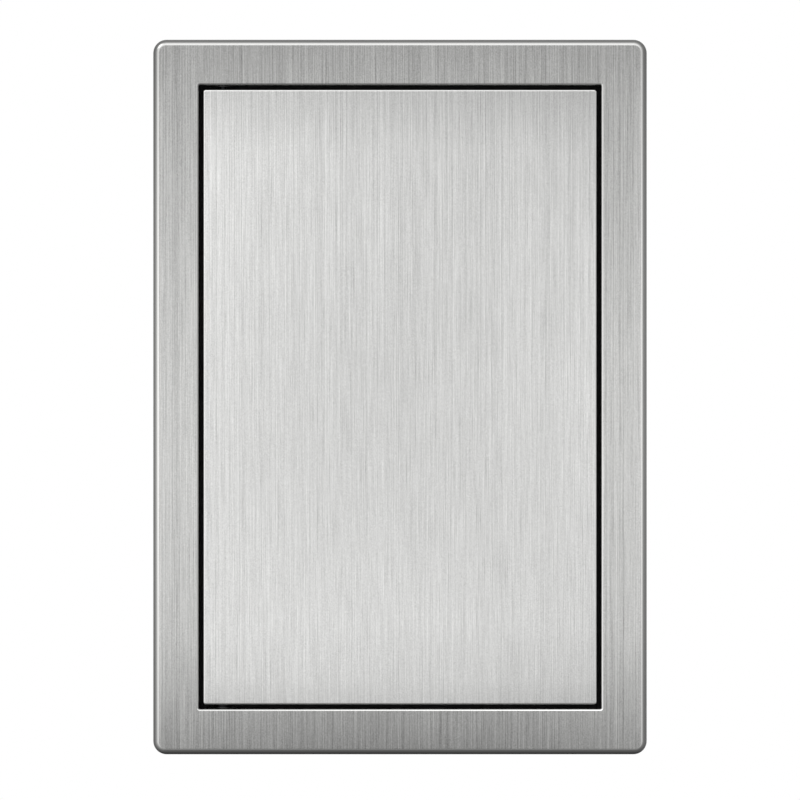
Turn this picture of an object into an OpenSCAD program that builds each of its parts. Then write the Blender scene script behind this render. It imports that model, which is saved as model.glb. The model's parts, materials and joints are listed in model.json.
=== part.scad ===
// Access panel for a wall opening: a black moulded frame and door, each under a thin brushed steel
// facing, with two hinge pins behind the left edge and a touch latch behind the right edge.
// X runs to the right, Y into the wall and Z up. Y = 0 is the face of the wall, and the origin is
// the middle of the opening on that face.

/* [Overall] */
// Width over the flange
outer_w = 221; // [180:1:420]
// Height over the flange
outer_h = 320; // [280:1:600]
// Width of the flange, from its outer edge to the opening
flange_w = 20.6; // [20:0.1:24]
// How far the front stands off the wall
flange_t = 6; // [5.8:0.1:7]
// Gap between the door and the frame, seen from the front
reveal = 1.9; // [1.6:0.1:2.4]
// How far the sleeve reaches into the wall
sleeve_depth = 40; // [38:1:80]
// Overlap of the flange outside the sleeve
flange_overlap = 12.5; // [11.5:0.5:13.5]

/* [Corners and edges] */
// Corner radius of the flange
corner_r = 6; // [5:0.5:12]
// Rounding of the flange's outer front edge
edge_r = 2.8; // [1.6:0.1:3]
// Rounding of the flange's inner front edge
opening_edge_r = 1; // [0.9:0.1:1.6]
// Corner radius of the door
door_corner_r = 1.2; // [1.1:0.1:3]
// Rounding of the door's front edge
door_edge_r = 0.7; // [0.5:0.05:1.05]
// Outer corner radius of the sleeve
sleeve_corner_r = 4; // [3:0.5:8]

/* [Sheet and walls] */
// Thickness of the steel facings
sheet_t = 0.6; // [0.4:0.05:0.7]
// Adhesive gap between a facing and its moulding
bond_gap = 0.1; // [0.05:0.05:0.1]
// Wall of the mouldings
wall_t = 2.4; // [2.2:0.1:2.6]
// Thickness of the stiffening ribs
rib_t = 1.6; // [1.2:0.1:2]
// Thickness of the door, front to back
door_t = 11; // [10.5:0.1:12]
// How far a facing's inner edge turns back from the front
return_d = 3; // [2.5:0.1:3.2]
// Widest cell of the door's rib lattice
door_cell = 30; // [20:1:31]

/* [Hinge] */
// From the door's edge in to the hinge axis
pivot_inset = 8.7; // [8.5:0.1:9.5]
// From the door's front back to the hinge axis
pivot_depth = 5.5; // [5.4:0.1:5.7]
// Radius of the hinge pins
pin_r = 1.5; // [1.2:0.1:1.7]
// Wall of the hinge bushes
bush_t = 1.05; // [0.8:0.05:1.1]
// Radial clearance of a pin in its bush
pin_play = 0.05; // [0.03:0.01:0.08]
// How far the upper pin draws down to free the door
pin_travel = 6.5; // [6.2:0.1:7]
// Turns of the upper pin's spring
pin_spring_turns = 6; // [4:1:7]

/* [Touch latch] */
// From the door's free edge in to the latch
latch_inset = 10; // [9.8:0.1:11]
// How far the plunger carries the door out
latch_out = 13.7; // [8:0.1:14]
// How far the door is pushed in to trip the latch
latch_push = 2.74; // [2:0.02:2.9]
// Length of the plunger
plunger_l = 24.5; // [24:0.5:27]
// Width of the plunger
plunger_w = 9; // [8.8:0.1:9.4]
// Height of the plunger
plunger_h = 10; // [9.6:0.1:10.6]
// Diameter of the magnet
magnet_d = 6; // [5:0.5:6.4]
// Width of the cam track
track_w = 1.8; // [1.6:0.1:2]
// Diameter of the cam follower's wire
follower_d = 1.2; // [1:0.1:1.2]
// Turns of the latch spring
latch_spring_turns = 10; // [6:1:12]

/* [Fixing] */
// Distance between the two screw holes in each side wall
screw_spacing = 200; // [150:5:215]
// Diameter of those screw holes
screw_hole_d = 4.5; // [3.5:0.5:5.5]
// Depth of those screw holes behind the wall's face
screw_depth = 24; // [22:1:30]
// Distance of each rubber buffer from the opening's top or bottom
buffer_from_end = 30; // [25:1:60]

/* [Hidden] */
$fn = 64;
SIDES = [-1, 1];
WIRE_SIDES = 6;
RINGS_PER_TURN = 8;
// How far one shape of a union reaches into the next, or a cut past a surface
BITE = 0.5;
// Clearances between pieces that only fit, that run on each other and that pass each other
fit = 0.05;
side_fit = 0.2;
running = 0.3;

// Least radius inside a bend of the sheet
inner_bend_r = 0.1;

// Levels along Y, front to back
skin = sheet_t + bond_gap;
y_front = -flange_t;
y_moulding = y_front + skin;
y_plate_back = y_moulding + wall_t;
y_door_back = y_front + door_t;
y_return = y_front + return_d;
y_lattice_back = y_door_back - 1;

// The opening and the door in it
opening_w = outer_w - 2 * flange_w;
opening_h = outer_h - 2 * flange_w;
door_w = opening_w - 2 * reveal;
door_h = opening_h - 2 * reveal;
door_x = door_w / 2;
door_z = door_h / 2;
door_inner_x = door_x - skin - wall_t;
door_inner_z = door_z - skin - wall_t;

// The sleeve
sleeve_x = outer_w / 2 - flange_overlap;
sleeve_z = outer_h / 2 - flange_overlap;
sleeve_inner_x = sleeve_x - wall_t;
sleeve_inner_z = sleeve_z - wall_t;
groove_w = 5;
groove_d = wall_t;
groove_inset = 3;
gasket_side = 0.2;

// The hinge
pivot_x = -door_x + pivot_inset;
pivot_y = y_front + pivot_depth;
bush_r = pin_r + pin_play + bush_t;
bush_flange_r = bush_r + 1;
bush_flange_t = 0.45;
collar_r = bush_flange_r - 0.4;
hinge_gap = reveal - 2 * bush_flange_t;
collar_t = hinge_gap - 0.2;
door_bush_l = 9.6;
frame_bush_l = sleeve_inner_z - opening_h / 2;
hinge_boss_w = 12;
notch_w = 2 * bush_flange_r + 1.8;
notch_y = pivot_y - bush_flange_r - 0.2;
door_block_l = 9.8;
pin_reach = frame_bush_l - 0.6;
guide_r = 4;
knob_l = 8;
knob_w = 6.8;
knob_top = door_z - 17.5;
knob_bottom = knob_top - knob_l;
pin_spring_wire = 0.5;
pin_spring_l = pin_travel + pin_spring_turns * pin_spring_wire + 1.5;
pin_spring_r = pin_r + 0.5;
spring_seat_z = knob_bottom - pin_spring_l;
lower_guide_l = 4;
pin_zone_x = pivot_x + guide_r + 1.8;
roll_pin_r = 0.6;

// The touch latch, which stands on the stop ledge
latch_x = door_x - latch_inset;
latch_lever = latch_x - pivot_x;
strike_t = 1.2;
strike_w = 2 * (door_inner_x - latch_x - side_fit);
strike_h = 28;
strike_screw_z = 10;
strike_screw_r = 1.15;
strike_head_r = 2.4;
strike_screw_l = 6.4;
y_strike_seat = y_lattice_back;
y_strike_back = y_strike_seat + strike_t;
housing_plate_t = 2;
housing_plate_w = 15;
housing_plate_h = 36;
push_rise = latch_push * (latch_lever + strike_w / 2) / latch_lever;
rear_sweep = norm([pivot_inset, door_t - pivot_depth]);
y_ledge = max(pivot_y + rear_sweep + 0.55, y_strike_back + push_rise + housing_plate_t + BITE);
ledge_t = wall_t;
ledge_reach = 5.9;
ledge_in_x = opening_w / 2 - ledge_reach;
ledge_in_z = opening_h / 2 - ledge_reach;
y_plate_front = y_ledge - housing_plate_t;
y_magnet = y_strike_back + running;
magnet_l = 2.5;
magnet_dome_r = 25;
tip_l = 3.4;
tip_r = magnet_d / 2 + 1.2;
tip_shank_r = 1.5;
tip_shank_l = 5.5;
y_tip = y_magnet + 0.6;
y_plunger = y_tip + tip_l;
y_plunger_back = y_plunger + plunger_l;
cavity_w = plunger_w + 2 * side_fit;
cavity_h = plunger_h + 2 * side_fit;
housing_side = 1.6;
housing_roof = 2;
housing_w = cavity_w + 2 * housing_side;
housing_h = cavity_h + 2 * housing_roof;
y_housing_back = y_plunger_back + latch_push + 0.76;
cap_t = 2;
spigot_r = 1.5;
spigot_l = 10;
snap_w = 4;
snap_l = 6;
snap_t = 0.8;
snap_tooth = 2;
snap_hole_y = y_housing_back - 4;
plate_screw_z = 13;
plate_screw_r = 1.45;
plate_screw_head_r = 2.8;
plate_screw_head_l = 1.4;
plate_screw_l = 9.4;
spring_bore_r = 2.6;
spring_bore_y = y_plunger + 7.5;
latch_spring_wire = 0.5;
latch_spring_r = (spring_bore_r + spigot_r) / 2;
follower_r = follower_d / 2;
track_d = 1.4;
y_follower_pivot = y_plunger + 23.5;
y_follower_tip = y_plunger + 9.5;
follower_arm = y_follower_pivot - y_follower_tip;
// Degrees that the follower turns for each millimetre of the plunger's travel
follower_turn = 0.6;
function follower_x(travel) = follower_arm * sin(follower_turn * travel);
z_track = plunger_h / 2 - track_d;
z_roof = housing_h / 2;
z_arm = z_roof + follower_d;
clip_t = 0.5;
clip_w = 4;
y_clip = y_follower_pivot - 6;
pad_x = latch_x - 10;
pad_h = housing_plate_h + 6;
pad_web_l = 15;

// The ledge's gussets, the bosses and the buffers
gusset_l = 12;
screw_boss_r = screw_hole_d / 2 + 3.25;
screw_boss_t = 1.5;
buffer_r = 2.8;
buffer_stem_r = 1.4;
buffer_x = ledge_in_x + buffer_r + side_fit;
buffer_z = opening_h / 2 - buffer_from_end;
buffer_rise = latch_push * (buffer_x - pivot_x) / latch_lever;
y_buffer = y_door_back + buffer_rise + running;
rib_h = 1.2;
y_rib_front = 4;
y_rib_end = 26;
tab_l = 14;
tab_in = 2.4;
tab_margin = 50;
tab_step = 80;
y_tab_back = -0.1;
y_tab_front = y_tab_back - sheet_t;

// Places spread evenly along a length, with a margin at each end and at most a step between them
function spread(length, margin, step) =
    let (n = max(1, ceil((length - 2 * margin) / step)))
    [for (i = [0:n]) (length / 2 - margin) * (2 * i / n - 1)];

// A flat outline in X and Z, made solid from y0 to y1
module through(y0, y1) {
    translate([0, y1, 0]) rotate([90, 0, 0]) linear_extrude(y1 - y0) children();
}

// A solid turned about a line along Y, from its half section with Y as height
module turned() {
    rotate([-90, 0, 0]) rotate_extrude() children();
}

module box(low, high) {
    translate(low) cube(high - low);
}

module round_rect(w, h, r) {
    square([w - 2 * r, h], center = true);
    square([w, h - 2 * r], center = true);
    for (x = SIDES, z = SIDES) translate([x * (w / 2 - r), z * (h / 2 - r)]) circle(r);
}

// Section of a slab whose two front edges are rounded
module slab_section(w, r, front, back) {
    translate([-w / 2 + r, front]) square([w - 2 * r, back - front]);
    translate([-w / 2, front + r]) square([w, back - front - r]);
    for (x = SIDES) translate([x * (w / 2 - r), front + r]) circle(r);
}

// Half section of the round button that makes a slab's corner
module corner_section(corner, r, front, back) {
    translate([0, front]) square([corner - r, back - front]);
    translate([0, front + r]) square([corner, back - front - r]);
    intersection() {
        translate([corner - r, front + r]) circle(r);
        translate([corner - r, front]) square([r, r]);
    }
}

// Slab with round corners and a rounded front edge
module slab(w, h, corner, r, front, back) {
    reach_x = w / 2 - corner;
    reach_z = h / 2 - corner;
    linear_extrude(2 * reach_z, center = true) slab_section(w, r, front, back);
    rotate([0, 90, 0]) linear_extrude(2 * reach_x, center = true) slab_section(h, r, front, back);
    for (x = SIDES, z = SIDES) {
        translate([x * reach_x, 0, z * reach_z]) turned() corner_section(corner, r, front, back);
    }
}

// Section of an opening that flares out round a rounded front edge
module flare_section(half, r, front) {
    translate([-half, front - 5]) square([2 * half, 30]);
    difference() {
        translate([-half - r, front - 5]) square([2 * (half + r), 5 + r]);
        for (x = SIDES) translate([x * (half + r), front + r]) circle(r);
    }
}

module opening_cut(inset) {
    r = opening_edge_r - inset;
    intersection() {
        linear_extrude(outer_h, center = true) flare_section(opening_w / 2 + inset, r, y_front + inset);
        rotate([0, 90, 0]) linear_extrude(outer_w, center = true) {
            flare_section(opening_h / 2 + inset, r, y_front + inset);
        }
    }
}

// The flange's outer form, drawn in by an inset all round
module flange_form(inset, back) {
    difference() {
        slab(outer_w - 2 * inset, outer_h - 2 * inset, corner_r - inset, edge_r - inset,
             y_front + inset, back);
        opening_cut(inset);
    }
}

module door_form(inset, back) {
    slab(door_w - 2 * inset, door_h - 2 * inset, door_corner_r - inset,
         max(door_edge_r - inset, inner_bend_r), y_front + inset, back);
}

// Blocks along all four edges of the flange, at the crimp tabs' places
module edge_blocks(length, reach, y0, y1) {
    for (s = SIDES, z = spread(outer_h, tab_margin, tab_step)) {
        translate([s * (outer_w - reach) / 2, (y0 + y1) / 2, z]) {
            cube([reach, y1 - y0, length], center = true);
        }
    }
    for (s = SIDES, x = spread(outer_w, tab_margin, tab_step)) {
        translate([x, (y0 + y1) / 2, s * (outer_h - reach) / 2]) {
            cube([length, y1 - y0, reach], center = true);
        }
    }
}

// Clears a facing's turned-in edge where the hinge bushes pass
module hinge_notch(edge_z, sides) {
    for (s = sides) {
        translate([pivot_x - notch_w / 2, notch_y, s * edge_z - sheet_t - BITE]) {
            cube([notch_w, flange_t, 2 * (sheet_t + BITE)]);
        }
    }
}

module frame_facing() {
    color([0.78, 0.78, 0.77]) difference() {
        union() {
            difference() {
                flange_form(0, y_tab_front + 0.1);
                flange_form(sheet_t, BITE);
                through(y_return, 1) square([opening_w + 3, opening_h + 3], center = true);
            }
            edge_blocks(tab_l, tab_in, y_tab_front, y_tab_back);
        }
        hinge_notch(opening_h / 2, SIDES);
    }
}

// Triangular web behind the ledge, in X and Y, with its upright edge on the sleeve's wall
module gusset(wall, inner, length) {
    front = y_ledge + BITE;
    foot = y_ledge + ledge_t;
    linear_extrude(rib_t, center = true) {
        polygon([[wall + BITE, front], [wall + BITE, foot + length], [wall, foot + length],
                 [inner, foot], [inner, front]]);
    }
}

// Rib on the outside of the sleeve, in X and Y, that tapers away at its back as a lead-in
module centring_rib(wall) {
    linear_extrude(rib_t, center = true) {
        polygon([[wall - BITE, y_rib_front], [wall + rib_h, y_rib_front],
                 [wall + rib_h, y_rib_end - 3 * rib_h], [wall, y_rib_end], [wall - BITE, y_rib_end]]);
    }
}

module centring_ribs() {
    for (z = spread(2 * sleeve_z, 60, 120)) translate([0, 0, z]) {
        centring_rib(sleeve_x);
        mirror([1, 0, 0]) centring_rib(sleeve_x);
    }
    for (x = spread(2 * sleeve_x, 60, 120), s = SIDES) {
        translate([x, 0, 0]) rotate([0, -s * 90, 0]) centring_rib(sleeve_z);
    }
}

module ledge() {
    through(y_ledge, y_ledge + ledge_t) difference() {
        square([2 * sleeve_inner_x + BITE, 2 * sleeve_inner_z + BITE], center = true);
        round_rect(2 * ledge_in_x, 2 * ledge_in_z, 2);
    }
    first = pad_h / 2 + 24;
    step = (ledge_in_z - first - 12) / 2;
    for (s = SIDES, k = [0:2]) {
        translate([0, 0, s * (first + k * step)]) {
            gusset(sleeve_inner_x, ledge_in_x + 2, gusset_l);
            mirror([1, 0, 0]) gusset(sleeve_inner_x, ledge_in_x + 2, gusset_l);
        }
    }
    for (x = spread(2 * ledge_in_x, 24, 60), s = SIDES) {
        translate([x, 0, 0]) rotate([0, -s * 90, 0]) gusset(sleeve_inner_z, ledge_in_z + 2, gusset_l);
    }
}

// Shelf of the ledge that carries the touch latch, with a web at each end
module latch_pad() {
    box([pad_x, y_ledge, -pad_h / 2], [ledge_in_x + BITE, y_ledge + ledge_t, pad_h / 2]);
    for (s = SIDES) {
        translate([0, 0, s * (pad_h - rib_t) / 2]) gusset(sleeve_inner_x, pad_x, pad_web_l);
        translate([latch_x, y_ledge + BITE, s * plate_screw_z]) rotate([-90, 0, 0]) {
            cylinder(r = plate_screw_r + 2, h = plate_screw_l - BITE);
        }
    }
}

module hinge_boss(s) {
    length = frame_bush_l + BITE;
    w = hinge_boss_w;
    translate([pivot_x, (y_plate_back + pivot_y + w / 2) / 2, s * (opening_h + length) / 2]) {
        cube([w, pivot_y + w / 2 - y_plate_back, length], center = true);
    }
}

module screw_boss(s, z) {
    translate([s * (sleeve_inner_x + BITE), screw_depth, z]) rotate([0, -s * 90, 0]) {
        cylinder(r = screw_boss_r, h = screw_boss_t + BITE);
    }
}

// Rectangular ring that the gasket and its groove share, from the groove's floor to a depth
module gasket_groove(inset, width, depth) {
    through(-groove_d, depth) difference() {
        square([outer_w - 2 * inset, outer_h - 2 * inset], center = true);
        square([outer_w - 2 * (inset + width), outer_h - 2 * (inset + width)], center = true);
    }
}

module frame_body() {
    color([0.09, 0.09, 0.095]) difference() {
        union() {
            difference() {
                union() {
                    flange_form(skin, 0);
                    through(y_plate_back, sleeve_depth) {
                        round_rect(2 * sleeve_x, 2 * sleeve_z, sleeve_corner_r);
                    }
                }
                through(y_plate_back, sleeve_depth + 1) {
                    round_rect(2 * sleeve_inner_x, 2 * sleeve_inner_z, sleeve_corner_r - wall_t);
                }
                gasket_groove(groove_inset, groove_w, 1);
                edge_blocks(tab_l + 2 * side_fit, tab_in + side_fit, y_tab_front - 0.1, BITE);
            }
            ledge();
            latch_pad();
            centring_ribs();
            for (s = SIDES) {
                hinge_boss(s);
                for (z = SIDES) screw_boss(s, z * screw_spacing / 2);
            }
        }
        for (s = SIDES) {
            translate([pivot_x, pivot_y, s * (opening_h / 2 + frame_bush_l / 2)]) {
                cylinder(r = bush_r + fit, h = frame_bush_l + 2 * fit, center = true);
            }
            translate([latch_x, y_ledge - 1, s * plate_screw_z]) rotate([-90, 0, 0]) {
                cylinder(r = plate_screw_r + fit, h = plate_screw_l + 2);
            }
            translate([buffer_x, y_ledge - 1, s * buffer_z]) rotate([-90, 0, 0]) {
                cylinder(r = buffer_stem_r + fit, h = ledge_t + 2);
            }
        }
        for (z = SIDES) translate([0, screw_depth, z * screw_spacing / 2]) rotate([0, 90, 0]) {
            cylinder(d = screw_hole_d, h = outer_w, center = true);
        }
        translate([latch_x, y_ledge + ledge_t / 2, 0]) {
            cube([housing_w + 2 * side_fit, ledge_t + 2, housing_h + 2 * side_fit], center = true);
        }
    }
}

module wall_gasket() {
    color([0.16, 0.16, 0.17]) gasket_groove(groove_inset + gasket_side, groove_w - 2 * gasket_side, 0);
}

// Flanged bush on the hinge axis, its flange's face at z = 0 and its sleeve above
module flanged_bush(length) {
    color([0.1, 0.1, 0.105]) difference() {
        union() {
            cylinder(r = bush_flange_r, h = bush_flange_t);
            cylinder(r = bush_r, h = bush_flange_t + length);
        }
        translate([0, 0, -1]) cylinder(r = pin_r + pin_play, h = length + 4);
    }
}

module upper_frame_bush() {
    translate([pivot_x, pivot_y, opening_h / 2 - bush_flange_t]) flanged_bush(frame_bush_l);
}

module lower_frame_bush() {
    translate([pivot_x, pivot_y, -opening_h / 2 + bush_flange_t]) mirror([0, 0, 1]) {
        flanged_bush(frame_bush_l);
    }
}

module lower_door_bush() {
    translate([pivot_x, pivot_y, -door_z - bush_flange_t]) flanged_bush(door_bush_l);
}

module lower_hinge_pin() {
    low = -opening_h / 2 - pin_reach;
    high = -door_z + door_bush_l - 0.4;
    mid = -(opening_h / 2 + door_z) / 2;
    color([0.2, 0.2, 0.21]) translate([pivot_x, pivot_y, 0]) {
        translate([0, 0, low]) cylinder(r1 = pin_r - 0.4, r2 = pin_r, h = 0.4);
        translate([0, 0, low + 0.4]) cylinder(r = pin_r, h = high - low - 0.8);
        translate([0, 0, high - 0.4]) cylinder(r1 = pin_r, r2 = pin_r - 0.4, h = 0.4);
        translate([0, 0, mid]) cylinder(r = collar_r, h = collar_t, center = true);
    }
}

// Push-in buffer: a domed button in front of the ledge, a stem and a bulb behind it
module door_buffers() {
    bulb = buffer_stem_r + 0.5;
    color([0.13, 0.13, 0.13]) for (s = SIDES) translate([buffer_x, 0, s * buffer_z]) {
        turned() {
            translate([0, y_buffer]) square([buffer_r - 0.8, y_ledge - y_buffer]);
            translate([0, y_buffer + 0.8]) square([buffer_r, y_ledge - y_buffer - 0.8]);
            intersection() {
                translate([buffer_r - 0.8, y_buffer + 0.8]) circle(0.8);
                translate([buffer_r - 0.8, y_buffer]) square([0.8, 0.8]);
            }
            translate([0, y_ledge - BITE]) square([buffer_stem_r, ledge_t + 1]);
            polygon([[0, y_ledge + ledge_t], [bulb, y_ledge + ledge_t], [bulb, y_ledge + ledge_t + 0.8],
                     [0.8, y_ledge + ledge_t + 2.4], [0, y_ledge + ledge_t + 2.4]]);
        }
    }
}

// A screw whose head is flush at y = 0 and whose shank runs back along Y
module flush_screw(head_r, shank_r, head_l, length) {
    section = [[0, 0], [head_r, 0], [shank_r, head_l], [shank_r, length - 1],
               [shank_r / 2, length], [0, length]];
    difference() {
        turned() polygon(section);
        for (a = [0, 90]) rotate([0, a, 0]) {
            cube([head_r * 1.1, head_l, head_r / 4], center = true);
        }
    }
}

// The countersunk hole that such a screw sits in, through a sheet
module countersink(head_r, shank_r, head_l, sheet) {
    turned() polygon([[0, -BITE], [head_r, -BITE], [head_r, 0], [shank_r + fit, head_l],
                      [shank_r + fit, sheet + 1], [0, sheet + 1]]);
}

module latch_screws() {
    color([0.7, 0.7, 0.72]) for (s = SIDES) translate([latch_x, y_plate_front, s * plate_screw_z]) {
        flush_screw(plate_screw_head_r - fit, plate_screw_r, plate_screw_head_l, plate_screw_l);
    }
}

module latch_housing() {
    color([0.2, 0.2, 0.21]) difference() {
        union() {
            translate([latch_x, 0, 0]) through(y_plate_front, y_ledge) {
                round_rect(housing_plate_w, housing_plate_h, 2);
            }
            translate([latch_x, 0, 0]) through(y_ledge - BITE, y_housing_back) {
                round_rect(housing_w, housing_h, 0.8);
            }
        }
        translate([latch_x, 0, 0]) through(y_plate_front - 1, y_housing_back + 1) {
            square([cavity_w, cavity_h], center = true);
        }
        for (s = SIDES) {
            translate([latch_x, y_plate_front, s * plate_screw_z]) {
                countersink(plate_screw_head_r, plate_screw_r, plate_screw_head_l, housing_plate_t);
            }
            translate([latch_x + s * (cavity_w + housing_w) / 4, snap_hole_y, 0]) {
                cube([2 * housing_side, snap_tooth + 0.4, snap_w + 2 * side_fit], center = true);
            }
        }
        box([latch_x - 3, y_follower_tip - 4, cavity_h / 2 - BITE],
            [latch_x + 3.5, y_follower_tip + 5, housing_h / 2 + 1]);
        translate([latch_x, y_follower_pivot, cavity_h / 2 - BITE]) {
            cylinder(r = follower_r + fit, h = housing_roof + 1);
        }
    }
}

module latch_cap() {
    color([0.2, 0.2, 0.21]) translate([latch_x, 0, 0]) {
        through(y_housing_back, y_housing_back + cap_t) round_rect(housing_w, housing_h, 0.8);
        translate([0, y_housing_back - spigot_l, 0]) rotate([-90, 0, 0]) {
            cylinder(r1 = spigot_r - 0.4, r2 = spigot_r, h = 1);
            translate([0, 0, 1]) cylinder(r = spigot_r, h = spigot_l);
        }
        for (s = SIDES) {
            leg = s * (housing_w / 2 + fit + snap_t / 2);
            translate([leg, y_housing_back + cap_t - (snap_l + cap_t) / 2, 0]) {
                cube([snap_t, snap_l + cap_t, snap_w], center = true);
            }
            translate([s * (housing_w / 2 - 0.2), y_housing_back + cap_t / 2, 0]) {
                cube([snap_t + 0.4, cap_t, snap_w], center = true);
            }
            translate([s * (housing_w / 2 - 0.2), snap_hole_y, 0]) {
                cube([snap_t + 0.4, snap_tooth, snap_w], center = true);
            }
        }
    }
}

// Straight stretch of the cam track between two points of the plunger, in X and Y
module track(from, to) {
    run = to - from;
    translate([from.x, from.y, z_track]) {
        cylinder(d = track_w, h = track_d + 1);
        rotate([0, 0, atan2(run.y, run.x)]) translate([0, -track_w / 2, 0]) {
            cube([norm(run), track_w, track_d + 1]);
        }
        translate(run) cylinder(d = track_w, h = track_d + 1);
    }
}

// Heart-shaped track: the way out runs slightly to the right, and the way back along the left
module cam_track() {
    front = [follower_x(-latch_push), y_follower_tip - latch_push - side_fit];
    back = [follower_x(latch_out), y_follower_tip + latch_out];
    left = -2.4;
    track(front, back);
    track(back, [back.x, y_plunger_back + 1]);
    track(back, [left, back.y - 3]);
    track([left, back.y - 3], [left, front.y + 3]);
    track([left, front.y + 3], front);
}

module latch_plunger() {
    color([0.86, 0.85, 0.82]) translate([latch_x, 0, 0]) difference() {
        through(y_plunger, y_plunger_back) round_rect(plunger_w, plunger_h, 0.6);
        cam_track();
        translate([0, spring_bore_y, 0]) rotate([-90, 0, 0]) cylinder(r = spring_bore_r, h = plunger_l);
        translate([0, y_plunger - 1, 0]) rotate([-90, 0, 0]) {
            cylinder(r = tip_shank_r + fit, h = tip_shank_l + 1.4);
        }
    }
}

module latch_tip() {
    color([0.2, 0.2, 0.21]) translate([latch_x, 0, 0]) difference() {
        turned() {
            polygon([[0, y_tip], [tip_r - 0.4, y_tip], [tip_r, y_tip + 0.4], [tip_r, y_plunger],
                     [0, y_plunger]]);
            translate([0, y_plunger - BITE]) square([tip_shank_r, tip_shank_l + BITE]);
        }
        translate([0, y_tip - 1, 0]) rotate([-90, 0, 0]) {
            cylinder(r = magnet_d / 2 + fit, h = 1 + y_magnet + magnet_l - y_tip + fit);
        }
    }
}

module latch_magnet() {
    r = magnet_d / 2;
    color([0.75, 0.75, 0.77]) translate([latch_x, 0, 0]) turned() intersection() {
        translate([0, y_magnet]) square([r, magnet_l]);
        translate([0, y_magnet + magnet_dome_r]) circle(magnet_dome_r, $fn = 360);
    }
}

// Bent wire: a pivot leg in the roof of the housing, an arm above it and a leg down into the track
module cam_follower() {
    color([0.75, 0.75, 0.77]) translate([latch_x, 0, 0]) {
        translate([0, y_follower_pivot, cavity_h / 2 + fit]) {
            cylinder(r = follower_r, h = z_arm - cavity_h / 2 - fit);
        }
        translate([0, y_follower_tip, z_track + running]) {
            cylinder(r = follower_r, h = z_arm - z_track - running);
        }
        translate([0, y_follower_tip, z_arm]) rotate([-90, 0, 0]) {
            cylinder(r = follower_r, h = follower_arm);
        }
        for (y = [y_follower_tip, y_follower_pivot]) translate([0, y, z_arm]) sphere(follower_r);
    }
}

// Strap over the follower's arm, with a leg down each side of the housing
module follower_clip() {
    half = housing_w / 2 + fit;
    top = z_arm + follower_r + 0.1;
    color([0.72, 0.72, 0.74]) translate([latch_x, y_clip - clip_w / 2, 0]) {
        box([-half - clip_t, 0, top], [half + clip_t, clip_w, top + clip_t]);
        for (s = SIDES) {
            translate([s * (half + clip_t / 2), clip_w / 2, top / 2]) {
                cube([clip_t, clip_w, top], center = true);
            }
        }
    }
}

// Points of one ring of a wire coil, and the coil itself as one closed tube standing on z = 0
function coil_ring(i, r, wire, turns, length) =
    let (n = turns * RINGS_PER_TURN, a = 360 * i / RINGS_PER_TURN, pitch = (length - wire) / turns)
    let (z = wire / 2 + (length - wire) * i / n, slope = atan2(pitch, 2 * PI * r))
    [for (k = [0:WIRE_SIDES - 1])
        let (b = 360 * k / WIRE_SIDES, out = wire / 2 * cos(b), up = wire / 2 * sin(b))
        [(r + out) * cos(a) + up * sin(slope) * sin(a),
         (r + out) * sin(a) - up * sin(slope) * cos(a),
         z + up * cos(slope)]];

function coil_points(r, wire, turns, length) =
    [for (i = [0:turns * RINGS_PER_TURN]) each coil_ring(i, r, wire, turns, length)];

// Least distance between points of the tube that lie half a turn or more apart along it
function coil_gap(points) =
    let (half_turn = WIRE_SIDES * RINGS_PER_TURN / 2, n = len(points))
    min([for (i = [0:n - 1])
         for (j = [i + half_turn:1:min(n - 1, i + 3 * half_turn)]) norm(points[i] - points[j])]);

module coil(r, wire, turns, length) {
    points = coil_points(r, wire, turns, length);
    rings = turns * RINGS_PER_TURN;
    sides = [for (i = [0:rings - 1], k = [0:WIRE_SIDES - 1])
        let (a = i * WIRE_SIDES + k, b = i * WIRE_SIDES + (k + 1) % WIRE_SIDES)
        each [[a, a + WIRE_SIDES, b], [b, a + WIRE_SIDES, b + WIRE_SIDES]]];
    first = [for (k = [1:WIRE_SIDES - 2]) [0, k, k + 1]];
    end = rings * WIRE_SIDES;
    last = [for (k = [1:WIRE_SIDES - 2]) [end, end + k + 1, end + k]];
    polyhedron(points, concat(sides, first, last));
}

module latch_spring() {
    length = y_housing_back - spring_bore_y;
    color([0.72, 0.72, 0.74]) translate([latch_x, spring_bore_y, 0]) rotate([-90, 0, 0]) {
        coil(latch_spring_r, latch_spring_wire, latch_spring_turns, length);
    }
    echo("latch spring's least gap to itself",
         coil_gap(coil_points(latch_spring_r, latch_spring_wire, latch_spring_turns, length)));
}

module pin_spring() {
    color([0.72, 0.72, 0.74]) translate([pivot_x, pivot_y, spring_seat_z]) {
        coil(pin_spring_r, pin_spring_wire, pin_spring_turns, pin_spring_l);
    }
    echo("pin spring's least gap to itself",
         coil_gap(coil_points(pin_spring_r, pin_spring_wire, pin_spring_turns, pin_spring_l)));
}

module door_facing() {
    color([0.8, 0.8, 0.79]) difference() {
        door_form(0, y_return);
        door_form(sheet_t, BITE);
        hinge_notch(door_z, [-1]);
    }
}

// Lattice behind the door's plate, left out beside the sliding pin
module door_ribs() {
    nx = ceil(2 * door_inner_x / door_cell);
    nz = ceil(2 * door_inner_z / door_cell);
    difference() {
        through(y_plate_back - BITE, y_lattice_back) {
            for (i = [1:nx - 1]) translate([2 * door_inner_x * (i / nx - 0.5), 0]) {
                square([rib_t, 2 * door_inner_z + BITE], center = true);
            }
            for (i = [1:nz - 1]) translate([0, 2 * door_inner_z * (i / nz - 0.5)]) {
                square([2 * door_inner_x + BITE, rib_t], center = true);
            }
        }
        box([-door_inner_x, y_plate_back, spring_seat_z - lower_guide_l - 1],
            [pin_zone_x, y_door_back, door_inner_z]);
    }
}

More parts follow.
